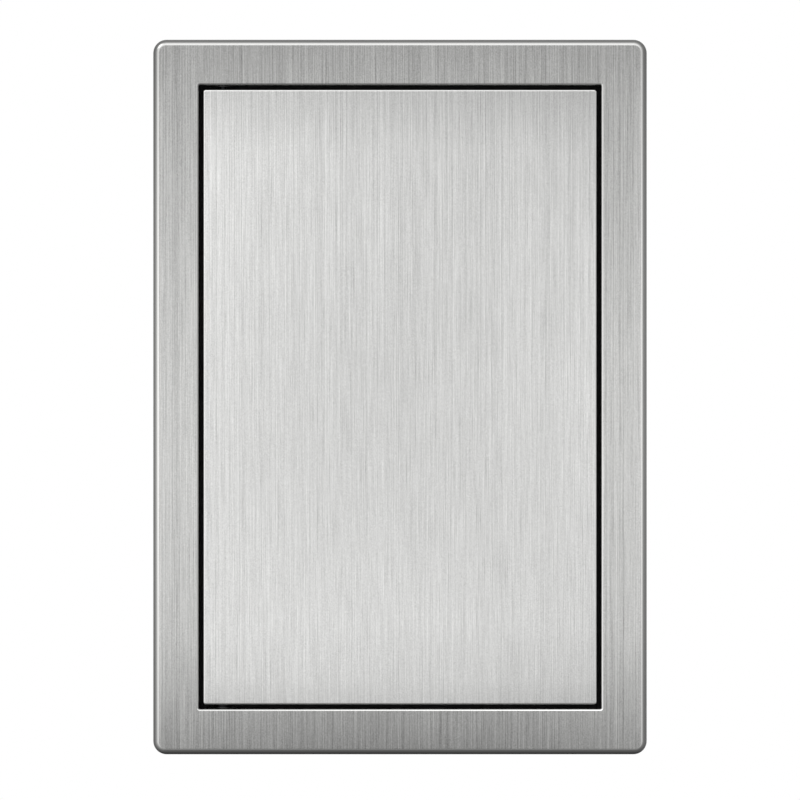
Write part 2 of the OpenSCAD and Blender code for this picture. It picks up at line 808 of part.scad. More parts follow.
// Block round the hinge axis, with a rounded back
module pin_block(z0, z1) {
    r = guide_r;
    front = y_plate_back - BITE;
    back = pivot_y + r;
    translate([pivot_x, 0, z0]) linear_extrude(z1 - z0) {
        translate([-r, front]) square([2 * r, back - 1 - front]);
        translate([1 - r, front]) square([2 * r - 2, back - front]);
        for (s = SIDES) translate([s * (r - 1), back - 1]) circle(1);
    }
}

// Seat of the strike plate: a walled box with a boss for each screw
module strike_seat() {
    low = [latch_x - 10, -strike_h / 2 - 2];
    high = [door_inner_x + BITE, strike_h / 2 + 2];
    hollow = [door_inner_x - wall_t - low.x, high.y - low.y - 2 * wall_t];
    through(y_plate_back - BITE, y_strike_seat) difference() {
        translate(low) square(high - low);
        translate(low + [wall_t, wall_t]) square(hollow);
    }
    for (s = SIDES) translate([latch_x, y_plate_back - BITE, s * strike_screw_z]) {
        rotate([-90, 0, 0]) cylinder(r = 3, h = y_strike_seat - y_plate_back + BITE);
    }
}

module door_body() {
    color([0.09, 0.09, 0.095]) difference() {
        union() {
            difference() {
                door_form(skin, y_door_back);
                through(y_plate_back, y_door_back + 1) {
                    square([2 * door_inner_x, 2 * door_inner_z], center = true);
                }
            }
            door_ribs();
            strike_seat();
            pin_block(knob_top + running, door_inner_z + BITE);
            pin_block(spring_seat_z - lower_guide_l, spring_seat_z);
            pin_block(-door_inner_z - BITE, -door_z + door_block_l);
            translate([pivot_x, pivot_y, -door_z]) cylinder(r = bush_flange_r, h = skin + BITE);
        }
        translate([pivot_x, pivot_y, 0]) {
            translate([0, 0, -door_z - 1]) cylinder(r = bush_r + fit, h = door_block_l + 2);
            translate([0, 0, spring_seat_z - lower_guide_l - 1]) cylinder(r = pin_r + pin_play, h = 60);
        }
        for (s = SIDES) translate([latch_x, y_strike_seat + 1, s * strike_screw_z]) rotate([90, 0, 0]) {
            cylinder(r = strike_screw_r + fit, h = strike_screw_l + 0.1);
        }
    }
}

module strike_plate() {
    color([0.74, 0.74, 0.76]) translate([latch_x, 0, 0]) difference() {
        through(y_strike_seat, y_strike_back) round_rect(strike_w, strike_h, 1.5);
        for (s = SIDES) translate([0, y_strike_back, s * strike_screw_z]) mirror([0, 1, 0]) {
            countersink(strike_head_r, strike_screw_r, strike_t, strike_t);
        }
    }
}

module strike_screws() {
    color([0.7, 0.7, 0.72]) for (s = SIDES) {
        translate([latch_x, y_strike_back, s * strike_screw_z]) mirror([0, 1, 0]) {
            flush_screw(strike_head_r - fit, strike_screw_r, strike_t, strike_screw_l);
        }
    }
}

module upper_hinge_pin() {
    low = spring_seat_z - lower_guide_l - 0.5;
    high = opening_h / 2 + pin_reach - 0.4;
    color([0.2, 0.2, 0.21]) translate([pivot_x, pivot_y, 0]) difference() {
        union() {
            translate([0, 0, low]) cylinder(r = pin_r, h = high - low - 1);
            translate([0, 0, high - 1]) cylinder(r1 = pin_r, r2 = pin_r - 0.6, h = 1);
        }
        translate([0, 0, knob_bottom + knob_l / 2]) rotate([0, 90, 0]) {
            cylinder(r = roll_pin_r + fit, h = 10, center = true);
        }
    }
}

// Knob on the pin, with a round thumb end towards the back and two grip grooves
module pin_knob() {
    r = knob_w / 2;
    front = y_plate_back + running;
    back = y_door_back + 3 - r;
    color([0.2, 0.2, 0.21]) difference() {
        translate([pivot_x, 0, knob_bottom]) linear_extrude(knob_l) {
            translate([-r, front]) square([knob_w, back - front]);
            translate([0, back]) circle(r);
        }
        translate([pivot_x, pivot_y, knob_bottom - 1]) cylinder(r = pin_r + fit, h = knob_l + 2);
        translate([pivot_x, pivot_y, knob_bottom + knob_l / 2]) rotate([0, 90, 0]) {
            cylinder(r = roll_pin_r + fit, h = knob_w + 2, center = true);
        }
        for (k = [1:3]) translate([pivot_x, back + r, knob_bottom + k * knob_l / 4]) {
            cube([knob_w, 1, knob_l / 10], center = true);
        }
    }
}

module knob_roll_pin() {
    color([0.7, 0.7, 0.72]) translate([pivot_x, pivot_y, knob_bottom + knob_l / 2]) rotate([0, 90, 0]) {
        difference() {
            cylinder(r = roll_pin_r, h = knob_w - 0.4, center = true);
            cylinder(r = roll_pin_r / 2, h = knob_w, center = true);
        }
    }
}

frame_facing();
frame_body();
wall_gasket();
upper_frame_bush();
lower_frame_bush();
door_buffers();
latch_housing();
latch_cap();
latch_screws();
follower_clip();
latch_spring();
latch_plunger();
latch_tip();
latch_magnet();
cam_follower();
lower_hinge_pin();
door_facing();
door_body();
strike_plate();
strike_screws();
lower_door_bush();
pin_spring();
upper_hinge_pin();
pin_knob();
knob_roll_pin();
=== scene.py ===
"""Flush access panel: the finished pieces of the panel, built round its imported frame.

Every piece stays in the frame's own axes, in metres: X to the right, Y into the wall, Z up, with
the wall's face at Y = 0. Each operator makes one piece or one group of like pieces.
"""

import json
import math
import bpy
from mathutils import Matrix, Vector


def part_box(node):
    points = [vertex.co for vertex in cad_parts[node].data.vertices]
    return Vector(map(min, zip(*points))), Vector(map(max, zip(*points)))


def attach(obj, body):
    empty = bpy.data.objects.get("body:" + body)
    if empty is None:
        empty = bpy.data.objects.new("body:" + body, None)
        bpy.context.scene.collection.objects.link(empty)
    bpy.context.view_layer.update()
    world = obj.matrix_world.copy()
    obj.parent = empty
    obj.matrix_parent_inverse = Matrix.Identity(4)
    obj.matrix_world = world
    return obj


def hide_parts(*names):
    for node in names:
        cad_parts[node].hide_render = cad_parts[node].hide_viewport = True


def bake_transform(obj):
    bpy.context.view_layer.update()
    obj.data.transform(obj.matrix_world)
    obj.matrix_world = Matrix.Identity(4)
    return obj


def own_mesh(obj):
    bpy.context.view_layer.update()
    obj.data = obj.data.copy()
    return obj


bl_info = {
    "name": "Access Panel",
    "version": (1, 0, 0),
    "blender": (4, 5, 0),
    "location": "View3D > Sidebar > Access Panel",
    "description": "Builds the finished pieces of a flush access panel round its packed frame",
    "category": "Object",
}

import bmesh
import bpy
from mathutils import Matrix, Vector

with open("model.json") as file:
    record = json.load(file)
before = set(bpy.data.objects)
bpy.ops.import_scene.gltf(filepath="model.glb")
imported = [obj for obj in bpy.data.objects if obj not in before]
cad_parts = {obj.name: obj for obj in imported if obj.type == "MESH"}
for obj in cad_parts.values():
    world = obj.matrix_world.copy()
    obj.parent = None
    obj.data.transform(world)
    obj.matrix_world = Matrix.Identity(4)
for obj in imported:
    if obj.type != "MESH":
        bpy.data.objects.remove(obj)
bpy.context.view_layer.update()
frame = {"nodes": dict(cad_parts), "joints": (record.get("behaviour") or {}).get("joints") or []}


def joint(name):
    """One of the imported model's joints."""
    return next(found for found in frame["joints"] if found["name"] == name)


MM = 0.001
SIDES = (-1, 1)

# The plane of the panel's front, and a point on the door's hinge axis
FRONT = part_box("frame_facing")[0].y
HINGE = Vector(joint("door_swing")["pos_m"])

# How near a point or a direction comes to a plane's own to count as lying in it
NEAR = 0.01 * MM
FLAT = 0.9999

# How near a point comes to a cutting plane to count as being on it
SNAP = 1e-7

# Width of the narrow ring of faces that keeps the shading of a facing's front flat
HOLDING_RING = 0.15 * MM

# In a copy of a CAD node: how near points merge, and how far two faces may turn and still join
WELD = 0.002 * MM
COPLANAR = math.radians(0.6)

# Edges that turn by more than the first are rounded, by more than the second shaded sharp
SHARP = math.radians(38)
CREASE = math.radians(35)

# Sides of a spring's wire, steps in each turn, and the pitch of a closed turn in wire widths
WIRE_SIDES = 10
COIL_STEPS = 28
CLOSED_PITCH = 1.08


class FacingSizes(bpy.types.PropertyGroup):
    """Sizes of the two pressed steel facings."""

    sheet: bpy.props.FloatProperty(
        name="Sheet", description="Thickness of the steel sheet", default=0.6 * MM, unit="LENGTH"
    )
    flange: bpy.props.FloatProperty(
        name="Flange", description="Width of the frame's front", default=20.6 * MM, unit="LENGTH"
    )
    corner: bpy.props.FloatProperty(
        name="Corner radius", description="Radius of the frame's corners", default=6 * MM,
        unit="LENGTH",
    )
    rim: bpy.props.FloatProperty(
        name="Outer rim", description="Rounding of the frame's outer edge", default=2.8 * MM,
        unit="LENGTH",
    )
    lip: bpy.props.FloatProperty(
        name="Opening's rim", description="Rounding of the frame's inner edge", default=1.0 * MM,
        unit="LENGTH",
    )
    lip_corner: bpy.props.FloatProperty(
        name="Opening's corners", description="Radius of the opening's corners", default=0.35 * MM,
        unit="LENGTH",
    )
    door_corner: bpy.props.FloatProperty(
        name="Door's corners", description="Radius of the door's corners", default=1.2 * MM,
        unit="LENGTH",
    )
    door_rim: bpy.props.FloatProperty(
        name="Door's rim", description="Rounding of the door's edge", default=0.7 * MM,
        unit="LENGTH",
    )
    turn_in: bpy.props.FloatProperty(
        name="Turned edge", description="Depth of the turned edges at the reveal",
        default=3 * MM, unit="LENGTH",
    )
    notch: bpy.props.FloatProperty(
        name="Hinge notch", description="Width of the notch for a hinge bush", default=9 * MM,
        unit="LENGTH",
    )
    notch_from: bpy.props.FloatProperty(
        name="Notch's start", description="Where the notches begin, behind the front",
        default=1.7 * MM, unit="LENGTH",
    )
    skirt_gap: bpy.props.FloatProperty(
        name="Skirt's gap", description="How far the skirt stops short of the crimp tabs' backs",
        default=0.5 * MM, unit="LENGTH",
    )
    tab: bpy.props.FloatProperty(
        name="Crimp tab", description="Length of a crimp tab", default=14 * MM, unit="LENGTH"
    )
    tab_reach: bpy.props.FloatProperty(
        name="Tab's reach", description="How far a crimp tab folds in", default=2.4 * MM,
        unit="LENGTH",
    )
    tab_bend: bpy.props.FloatProperty(
        name="Tab's bend", description="Rounding of a crimp tab's fold", default=0.4 * MM,
        unit="LENGTH",
    )
    tab_margin: bpy.props.FloatProperty(
        name="Tab's margin", description="From a corner to the middle of the first tab",
        default=50 * MM, unit="LENGTH",
    )
    tab_step: bpy.props.FloatProperty(
        name="Tab's spacing", description="Widest distance between two tabs", default=80 * MM,
        unit="LENGTH",
    )


class MouldedSizes(bpy.types.PropertyGroup):
    """Sizes of the moulded, turned, cut and wound pieces."""

    ease: bpy.props.FloatProperty(
        name="Moulded edge", description="Rounding of a moulding's edges", default=0.25 * MM,
        unit="LENGTH",
    )
    small_ease: bpy.props.FloatProperty(
        name="Small edge", description="Rounding of a small piece's edges", default=0.12 * MM,
        unit="LENGTH",
    )
    foam_strip: bpy.props.FloatProperty(
        name="Foam strip", description="Width of the gasket's strips", default=4.6 * MM,
        unit="LENGTH",
    )
    foam_edge: bpy.props.FloatProperty(
        name="Foam edge", description="Rounding of the gasket's edges", default=0.6 * MM,
        unit="LENGTH",
    )
    latch_wire: bpy.props.FloatProperty(
        name="Latch spring's wire", description="Diameter of the wire", default=0.5 * MM,
        unit="LENGTH",
    )
    latch_turns: bpy.props.IntProperty(
        name="Latch spring's turns", description="Turns of the latch spring", default=10
    )
    pin_wire: bpy.props.FloatProperty(
        name="Pin spring's wire", description="Diameter of the wire", default=0.5 * MM,
        unit="LENGTH",
    )
    pin_turns: bpy.props.IntProperty(
        name="Pin spring's turns", description="Turns of the pin spring", default=6
    )


class FinishSettings(bpy.types.PropertyGroup):
    """Colours of the finishes."""

    door_steel: bpy.props.FloatVectorProperty(
        name="Door's steel", description="Tone of the brushed door", subtype="COLOR",
        default=(0.635, 0.635, 0.627),
    )
    frame_steel: bpy.props.FloatVectorProperty(
        name="Frame's steel", description="Tone of the brushed frame at half height",
        subtype="COLOR", default=(0.60, 0.60, 0.59),
    )
    black: bpy.props.FloatVectorProperty(
        name="Black moulding", description="Colour of the frame's and door's mouldings",
        subtype="COLOR", default=(0.020, 0.020, 0.021),
    )
    grey: bpy.props.FloatVectorProperty(
        name="Grey moulding", description="Colour of the latch's mouldings", subtype="COLOR",
        default=(0.050, 0.050, 0.053),
    )
    nylon: bpy.props.FloatVectorProperty(
        name="Nylon", description="Colour of the bushes", subtype="COLOR",
        default=(0.012, 0.012, 0.013),
    )
    blackened: bpy.props.FloatVectorProperty(
        name="Blackened steel", description="Tone of the hinge pins", subtype="COLOR",
        default=(0.013, 0.013, 0.014),
    )
    acetal: bpy.props.FloatVectorProperty(
        name="Acetal", description="Colour of the plunger", subtype="COLOR",
        default=(0.74, 0.73, 0.69),
    )
    foam: bpy.props.FloatVectorProperty(
        name="Foam", description="Colour of the gasket", subtype="COLOR",
        default=(0.055, 0.055, 0.058),
    )
    rubber: bpy.props.FloatVectorProperty(
        name="Rubber", description="Colour of the buffers", subtype="COLOR",
        default=(0.020, 0.020, 0.020),
    )
    zinc: bpy.props.FloatVectorProperty(
        name="Zinc plate", description="Tone of the screws and the strike plate",
        subtype="COLOR", default=(0.60, 0.61, 0.64),
    )
    wire: bpy.props.FloatVectorProperty(
        name="Spring steel", description="Tone of the springs, strap, follower and roll pin",
        subtype="COLOR", default=(0.50, 0.50, 0.52),
    )
    nickel: bpy.props.FloatVectorProperty(
        name="Nickel plate", description="Tone of the magnet", subtype="COLOR",
        default=(0.66, 0.65, 0.62),
    )
    floor: bpy.props.FloatVectorProperty(
        name="Floor", description="Colour of the studio's floor", subtype="COLOR",
        default=(0.80, 0.80, 0.79),
    )


class StudioSettings(bpy.types.PropertyGroup):
    """Camera, floor and light."""

    distance: bpy.props.FloatProperty(
        name="Camera's distance", description="From the camera to the panel's front", default=2.0,
        unit="LENGTH",
    )
    view_width: bpy.props.FloatProperty(
        name="View's width", description="Width that the picture shows at the panel's front",
        default=0.35776, unit="LENGTH",
    )
    camera_height: bpy.props.FloatProperty(
        name="Camera's height", description="Height of the camera over the panel's middle",
        default=-1.33 * MM, unit="LENGTH",
    )
    floor_level: bpy.props.FloatProperty(
        name="Floor", description="Height of the floor", default=-0.22, unit="LENGTH"
    )
    key_power: bpy.props.FloatProperty(
        name="Key light", description="Power of the soft light", default=8.0, unit="POWER"
    )
    key_size: bpy.props.FloatProperty(
        name="Key light's size", description="Side of the soft light's square", default=1.1,
        unit="LENGTH",
    )
    key_place: bpy.props.FloatVectorProperty(
        name="Key light's place", description="Where the soft light stands",
        subtype="TRANSLATION", unit="LENGTH", default=(-1.3, -1.5, 1.5),
    )


# Where a rim's band of painted highlight and smoother gloss fades in, outwards from the inner line
# of its rounding
RIM_BAND_FADE = (-0.05 * MM, 0.35 * MM)

# Width of the band of painted highlight and smoother gloss on the opening's lip
LIP_BAND = 0.3 * MM

# Painted shade and reflection on the brushed faces from bottom to top, as shares of the steel's own
# tone
DOOR_PAINTED_SHADE = (
    (0.0, 0.77), (0.04, 0.88), (0.13, 0.94), (0.38, 0.845), (0.60, 0.81), (0.74, 0.813),
    (0.90, 0.78), (1.0, 0.635),
)
FRAME_PAINTED_SHADE = (
    (0.0, 0.435), (0.08, 0.615), (0.17, 0.785), (0.38, 0.82), (0.58, 0.76), (0.78, 0.64),
    (0.92, 0.543), (1.0, 0.452),
)

# What reflections see in front (0), sideways (0.5) and behind the panel (1), by side
CEILING = (
    (0.0, 0.333), (0.010, 0.36), (0.022, 0.62), (0.035, 0.86), (0.09, 0.88), (0.15, 0.62),
    (0.22, 0.39), (0.39, 0.18), (0.60, 0.17), (1.0, 0.15),
)
LEFT_WALL = (
    (0.0, 0.333), (0.018, 0.667), (0.045, 0.64), (0.085, 0.513), (0.20, 0.267), (0.38, 0.173),
    (0.60, 0.117), (1.0, 0.10),
)
RIGHT_WALL = (
    (0.0, 0.333), (0.006, 0.467), (0.03, 0.573), (0.06, 0.413), (0.12, 0.22), (0.25, 0.13),
    (0.45, 0.127), (1.0, 0.10),
)
FLOOR = (
    (0.0, 0.333), (0.015, 0.22), (0.08, 0.107), (0.20, 0.078), (0.36, 0.066), (0.58, 0.029),
    (1.0, 0.03),
)

# Brightness of that room in reflections, and of the even light on matt faces
ROOM_LEVEL = 3.0
AMBIENT = 1.0

# Straight behind the panel reflections see white, from the first of these shares of Y to the second
WHITE_BEHIND = (0.88, 0.97)

# The floor's middle in X and Y, how far it reaches from there, and the shares of that reach
# between which it fades into the white backdrop
FLOOR_CENTRE = (0, -0.15)
FLOOR_REACH = 0.55
FLOOR_FADE = (0.4, 0.98)

GROUPS = {
    "access_panel_facing": FacingSizes,
    "access_panel_moulded": MouldedSizes,
    "access_panel_finish": FinishSettings,
    "access_panel_studio": StudioSettings,
}


class Wire:
    """A node's output, so that shader maths reads as Python."""

    def __init__(self, board, output):
        self.board = board
        self.output = output

    def maths(self, operation, *values):
        """The output of a Math node with that operation."""
        return self.board.node("ShaderNodeMath", {"operation": operation}, dict(enumerate(values)))

    def __add__(self, other):
        return self.maths("ADD", self, other)

    def __sub__(self, other):
        return self.maths("SUBTRACT", self, other)

    def __rsub__(self, other):
        return self.maths("SUBTRACT", other, self)

    def __mul__(self, other):
        return self.maths("MULTIPLY", self, other)

    def __truediv__(self, other):
        return self.maths("DIVIDE", self, other)

    def __rtruediv__(self, other):
        return self.maths("DIVIDE", other, self)

    def __abs__(self):
        return self.maths("ABSOLUTE", self)

    __radd__ = __add__
    __rmul__ = __mul__

    def root(self):
        """The square root."""
        return self.maths("SQRT", self)

    def larger(self, other):
        """The larger of the two."""
        return self.maths("MAXIMUM", self, other)

    def between(self, low, high):
        """0 below low and 1 above high, with a smooth step between them."""
        return self.board.node(
            "ShaderNodeMapRange",
            {"interpolation_type": "SMOOTHSTEP"},
            {"Value": self, "From Min": low, "From Max": high},
        )


class Board:
    """A node tree, filled by one method."""

    def __init__(self, owner):
        owner.use_nodes = True
        self.tree = owner.node_tree
        self.tree.nodes.clear()

    def node(self, kind, setup=None, inputs=None, output=0):
        """A node of that type, its settings first, then its sockets' values or links."""
        made = self.tree.nodes.new(kind)
        for name, value in (setup or {}).items():
            if name == "stops":
                self.fill_ramp(made.color_ramp, value)
            else:
                setattr(made, name, value)
        for name, value in (inputs or {}).items():
            if isinstance(value, Wire):
                self.tree.links.new(value.output, made.inputs[name])
            elif value is not None:
                made.inputs[name].default_value = value
        return Wire(self, made.outputs[output]) if made.outputs else made

    @staticmethod
    def fill_ramp(ramp, stops):
        """Gives a new colour ramp its stops, each a place and a tone of grey."""
        while len(ramp.elements) < len(stops):
            ramp.elements.new(1.0)
        for element, (place, tone) in zip(ramp.elements, stops):
            element.position = place
            element.color = (tone, tone, tone, 1.0)

    def split(self, vector):
        """The three components of a vector."""
        return [self.node("ShaderNodeSeparateXYZ", None, {0: vector}, axis) for axis in range(3)]

    def place(self):
        """The piece's own coordinates, in metres."""
        return self.node("ShaderNodeTexCoord", None, None, "Object")

    def patches(self, size, shift):
        """The piece's coordinates in patches of that size along X, Y and Z, and shifted."""
        return self.node(
            "ShaderNodeMapping", None,
            {"Vector": self.place(), "Location": shift,
             "Scale": tuple(1.0 / length for length in size)},
        )

    def noise(self, size, seed=0.0, detail=2.0, roughness=0.5):
        """Noise from 0 to 1 whose patches have that size along X, Y and Z, in metres."""
        return self.node(
            "ShaderNodeTexNoise", None,
            {"Vector": self.patches(size, (seed, seed * 1.7, seed * 0.6)), "Scale": 1.0,
             "Detail": detail, "Roughness": roughness},
        )

    def cells(self, size, seed=0.0):
        """Distance to the nearest point of a cell pattern, in cell widths."""
        return self.node(
            "ShaderNodeTexVoronoi", None,
            {"Vector": self.patches((size,) * 3, (seed,) * 3), "Scale": 1.0},
        )

    def mix(self, factor, first, second):
        """The first number where the factor is 0, the second where it is 1."""
        return self.node("ShaderNodeMix", {"data_type": "FLOAT"}, {0: factor, 2: first, 3: second})

    def tint(self, colour_name, factor):
        """One of the finishes' colours times a number that varies over the surface."""
        colour = tuple(getattr(settings("finish"), colour_name))
        return self.node(
            "ShaderNodeVectorMath", {"operation": "SCALE"}, {0: colour, "Scale": factor}
        )

    def bump(self, height, depth):
        """A normal from a height of 0 to 1 that stands for that depth, in metres."""
        return self.node(
            "ShaderNodeBump", None, {"Height": height, "Distance": depth, "Strength": 1.0}
        )

    def shader(self, **inputs):
        """The surface: one Principled shader on the material's output."""
        sockets = {name.replace("_", " "): value for name, value in inputs.items()}
        surface = self.node("ShaderNodeBsdfPrincipled", None, sockets)
        self.node("ShaderNodeOutputMaterial", None, {"Surface": surface})


def settings(name):
    """One of the panel's groups of settings, such as facing or finish."""
    return getattr(bpy.context.scene, "access_panel_" + name)


def material(name, build):
    """The material of that name, built by a function the first time it is asked for."""
    found = bpy.data.materials.get(name)
    if found is None:
        found = bpy.data.materials.new(name)
        build(Board(found))
    return found


def grain(board, seed):
    """Brushed grain along Z: long hairlines, shorter scratches and a speckle, each about 0."""
    line = board.noise((0.22 * MM, 0.22 * MM, 400 * MM), seed, 1.0) - 0.5
    scratch = board.noise((0.22 * MM, 0.22 * MM, 22 * MM), seed + 3, 2.0, 0.6) - 0.5
    speck = board.noise((0.24 * MM,) * 3, seed + 7, 1.0) - 0.5
    return line, scratch, speck


def painted_shade_over_height(board, up, node, stops):
    """A painted shade that changes with the height over a node, from its bottom at 0 to its top at
    1.
    """
    low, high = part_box(node)
    share = board.node(
        "ShaderNodeMapRange", None, {"Value": up, "From Min": low.z, "From Max": high.z}
    )
    return board.node("ShaderNodeValToRGB", {"stops": stops}, {"Fac": share})


def edge_band(across, up, half, corner, band):
    """1 within a band at the edge of a rounded rectangle in X and Z, and 0 further in."""
    reach = (abs(across) - (half.x - corner)).larger(0.0)
    rise = (abs(up) - (half.z - corner)).larger(0.0)
    away = (reach * reach + rise * rise).root()
    line = corner - band
    return away.between(line + RIM_BAND_FADE[0], line + RIM_BAND_FADE[1])


def door_steel(board):
    """Fine vertical satin grain on painted shade and sheen, duller towards the right-hand corners,
    with a smoother rim painted brighter as a highlight.
    """
    line, scratch, speck = grain(board, 2.0)
    across, _, up = board.split(board.place())
    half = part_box("door_facing")[1]
    side = across / half.x
    rise = up / half.z
    above = rise.larger(0.0)
    below = (0.0 - rise).larger(0.0)
    # Painted sheen and shade: brighter at the middle of the sides and at the upper left, darker
    # towards the right-hand corners
    painted_sheen = (
        side * side * (1.0 - abs(rise)) * 0.09
        - side * above * 0.13
        - side.larger(0.0) * below * 0.12
        + 1.0
    )
    strokes = line * 0.74 + scratch * 0.74 + speck * 0.95 + 1.0
    # The grain laid on the painted shade over the height and on the painted sheen
    tone = strokes * painted_shade_over_height(board, up, "door_facing", DOOR_PAINTED_SHADE) * painted_sheen
    facing = settings("facing")
    # The rim's colour is an even bright tone in place of the painted shade, a painted highlight;
    # the rim is also smoother
    rim = edge_band(across, up, half, facing.door_corner, facing.door_rim)
    board.shader(
        Base_Color=board.tint("door_steel", board.mix(rim, tone, 1.05)),
        Metallic=1.0,
        Roughness=scratch * 0.12 + (0.30 - rim * 0.12),
        Normal=board.bump(line * 0.5 + scratch * 0.5 + 0.5, 0.004 * MM),
    )


def frame_steel(board):
    """Grain with more scratches than the door's, on painted shade darker towards the top, bottom
    and lower middle, with painted highlights on the smoother rim and lip."""
    line, scratch, speck = grain(board, 11.0)
    across, _, up = board.split(board.place())
    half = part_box("frame_facing")[1]
    side = across / half.x
    rise = up / half.z
    # Painted shade, a little darker in the lower middle of the frame
    low_middle_shade = (1.0 - side * side) * (1.0 - rise) * 0.5
    # Painted shade and reflection over the height
    level = painted_shade_over_height(board, up, "frame_facing", FRAME_PAINTED_SHADE)
    strokes = line * 0.67 + scratch * 0.82 + speck * 0.92
    tone = level * (1.0 - low_middle_shade * 0.17) + strokes * (level * 0.62 + 0.30)
    facing = settings("facing")
    outer = edge_band(across, up, half, facing.corner, facing.rim)
    # Painted highlight on the outer rim, dimmer towards the top and bottom
    rim_painted_highlight = rise * rise * -0.28 + 0.88
    to_lip = facing.flange - facing.lip
    lip_line = half - Vector((to_lip, 0, to_lip))
    inner = 1.0 - edge_band(across, up, lip_line, facing.lip, LIP_BAND)
    # Painted highlight on the opening's lip, brighter on the right and bottom lips, which turn
    # towards the light from the upper left
    lip_painted_highlight = side * 0.20 - rise * 0.12 + 0.85
    # The grain and painted shade with the rim's and lip's painted highlights; rim and lip are also
    # smoother
    tone_with_painted_highlights = board.mix(inner, board.mix(outer, tone, rim_painted_highlight), lip_painted_highlight)
    board.shader(
        Base_Color=board.tint("frame_steel", tone_with_painted_highlights),
        Metallic=1.0,
        Roughness=scratch * 0.14 + (0.30 - outer.larger(inner) * 0.12),
        Normal=board.bump(line * 0.5 + scratch * 0.5 + 0.5, 0.005 * MM),
    )


def moulded(colour_name, gloss, texture_depth):
    """A moulded plastic with a fine spark-eroded texture and faint flow marks."""

    def build(board):
        pores = board.cells(0.42 * MM)
        flow = board.noise((9 * MM, 9 * MM, 22 * MM), 4.0, 3.0) - 0.5
        dust = board.noise((1.1 * MM,) * 3, 8.0, 3.0) - 0.5
        board.shader(
            Base_Color=board.tint(colour_name, flow * 0.35 + dust * 0.30 + 1.0),
            Roughness=dust * 0.16 + flow * 0.10 + gloss,
            Specular_IOR_Level=0.3,
            Normal=board.bump(pores + dust * 0.5, texture_depth),
        )

    return build


def turned_plastic(colour_name):
    """An unfilled engineering plastic, a little waxy, with faint tool rings."""

    def build(board):
        rings = board.noise((6 * MM, 6 * MM, 0.25 * MM), 6.0, 2.0) - 0.5
        cloud = board.noise((2.5 * MM,) * 3, 1.0, 3.0) - 0.5
        board.shader(
            Base_Color=board.tint(colour_name, cloud * 0.10 + rings * 0.05 + 1.0),
            Roughness=cloud * 0.14 + 0.38,
            Normal=board.bump(rings + cloud * 0.4 + 0.5, 0.006 * MM),
        )

    return build


def foam(board):
    """Closed-cell foam with open pores on its cut faces, the pores painted darker as shade."""
    pores = board.cells(0.55 * MM)
    small = board.cells(0.28 * MM, seed=3.0)
    cloud = board.noise((3 * MM,) * 3, 2.0, 2.0) - 0.5
    open_cell = pores.between(0.15, 0.55)
    board.shader(
        # The pores are painted darker, a painted shade inside them
        Base_Color=board.tint("foam", open_cell * 0.7 + cloud * 0.4 + 0.55),
        Roughness=0.92,
        Normal=board.bump(open_cell + small * 0.4, 0.12 * MM),
    )


def soft_rubber(board):
    """Matt moulded rubber with a dusty bloom."""
    bloom = board.noise((1.4 * MM,) * 3, 3.0, 4.0) - 0.5
    board.shader(
        Base_Color=board.tint("rubber", bloom * 0.9 + 1.0),
        Roughness=bloom * 0.2 + 0.72,
        Normal=board.bump(bloom + 0.5, 0.02 * MM),
    )


def plated(colour_name, shine, grain_size, depth):
    """Plated or drawn metal with clouds in its gloss and a fine grain of the given size."""

    def build(board):
        cloud = board.noise((1.8 * MM,) * 3, 9.0, 3.0) - 0.5
        lines = board.noise(grain_size, 4.0, 2.0) - 0.5
        board.shader(
            Base_Color=board.tint(colour_name, cloud * 0.18 + lines * 0.14 + 1.0),
            Metallic=1.0,
            Roughness=cloud * 0.16 + shine,
            Normal=board.bump(lines + 0.5, depth),
        )

    return build


FINISHES = {
    "brushed_door": ("brushed_facing", door_steel),
    "brushed_frame": ("brushed_facing", frame_steel),
    "black_abs": ("black_moulding", moulded("black", 0.58, 0.012 * MM)),
    "grey_abs": ("grey_moulding", moulded("grey", 0.40, 0.006 * MM)),
    "nylon": ("black_nylon", turned_plastic("nylon")),
    "acetal": ("natural_acetal", turned_plastic("acetal")),
    "gasket_foam": ("foam_rubber", foam),
    "buffer_rubber": ("buffer_rubber", soft_rubber),
    "blackened": ("blackened_steel", plated("blackened", 0.34, (0.3 * MM,) * 3, 0.003 * MM)),
    "zinc": ("zinc_steel", plated("zinc", 0.30, (0.15 * MM, 0.15 * MM, 6 * MM), 0.003 * MM)),
    "wire": ("spring_steel", plated("wire", 0.24, (0.12 * MM,) * 3, 0.003 * MM)),
    "nickel": ("magnet_plate", plated("nickel", 0.14, (0.5 * MM,) * 3, 0.001 * MM)),
}


def add_piece(name, bm, finish, body, *nodes):
    """Makes the mesh a piece in place of those CAD nodes, riding on a body where one is named."""
    slot, build = FINISHES[finish]
    mesh = bpy.data.meshes.new(name)
    bm.to_mesh(mesh)
    bm.free()
    mesh.materials.append(material(finish, build))
    piece = bpy.data.objects.new(name, mesh)
    bpy.context.scene.collection.objects.link(piece)
    if body:
        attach(piece, body)
    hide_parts(*nodes)
    return piece


def smooth(bm):
    """Shades faces smooth, with creases left sharp."""
    for face in bm.faces:
        face.smooth = True
    for edge in bm.edges:
        if len(edge.link_faces) == 2:
            edge.smooth = edge.calc_face_angle() < CREASE


def weigh_normals(piece):
    """Keeps broad flats flat beside their rounded edges."""
    weighted = piece.modifiers.new("weighted_normals", "WEIGHTED_NORMAL")
    weighted.keep_sharp = True


def round_edges(bm, edges, radius, segments, loop_slide=True):
    """Rounds those edges to an arc."""
    return bmesh.ops.bevel(
        bm, geom=edges, offset=radius, offset_type="OFFSET", segments=segments, profile=0.5,
        affect="EDGES", clamp_overlap=True, loop_slide=loop_slide, material=-1,
    )


